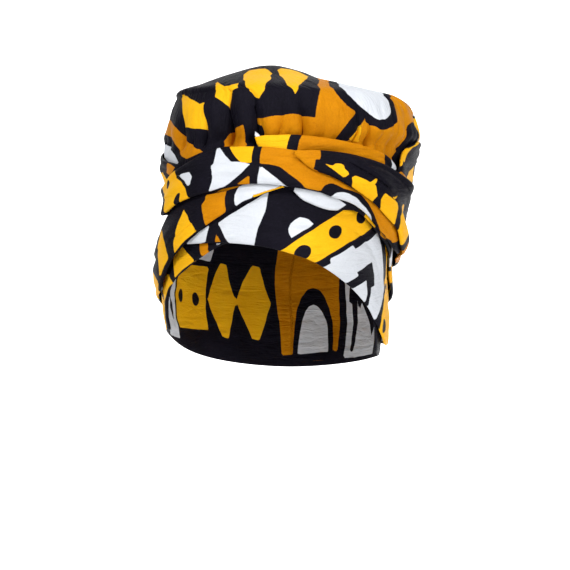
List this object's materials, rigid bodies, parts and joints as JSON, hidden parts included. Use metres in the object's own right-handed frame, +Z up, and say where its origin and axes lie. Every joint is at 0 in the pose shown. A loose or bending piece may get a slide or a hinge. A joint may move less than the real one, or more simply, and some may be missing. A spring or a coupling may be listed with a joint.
{
  "type": "tied head wrap",
  "caption": "Head wrap of printed cotton with a full gathered crown and crossed, overlapping turns of cloth round the head, held open as it is worn.",
  "frame": {"origin": "middle of the head opening at the height of the hat line, where the head sits in the wrap", "axes": "+Z up along the head, +X to the viewer's right, -Y out of the wearer's forehead"},
  "size_m": [0.1698, 0.2032, 0.1961],
  "materials": {
    "printed_cotton": "plain-woven cotton with a black, yellow, ochre and white wax print, matt with a faint sheen"
  },
  "bodies": {
    "root": {"under_wrap": "printed_cotton", "forehead_band": "printed_cotton", "crown_puff": "printed_cotton", "top_turn": "printed_cotton", "back_turn": "printed_cotton", "lower_turn": "printed_cotton", "front_turn": "printed_cotton", "right_turn": "printed_cotton"}
  },
  "joints": []
}
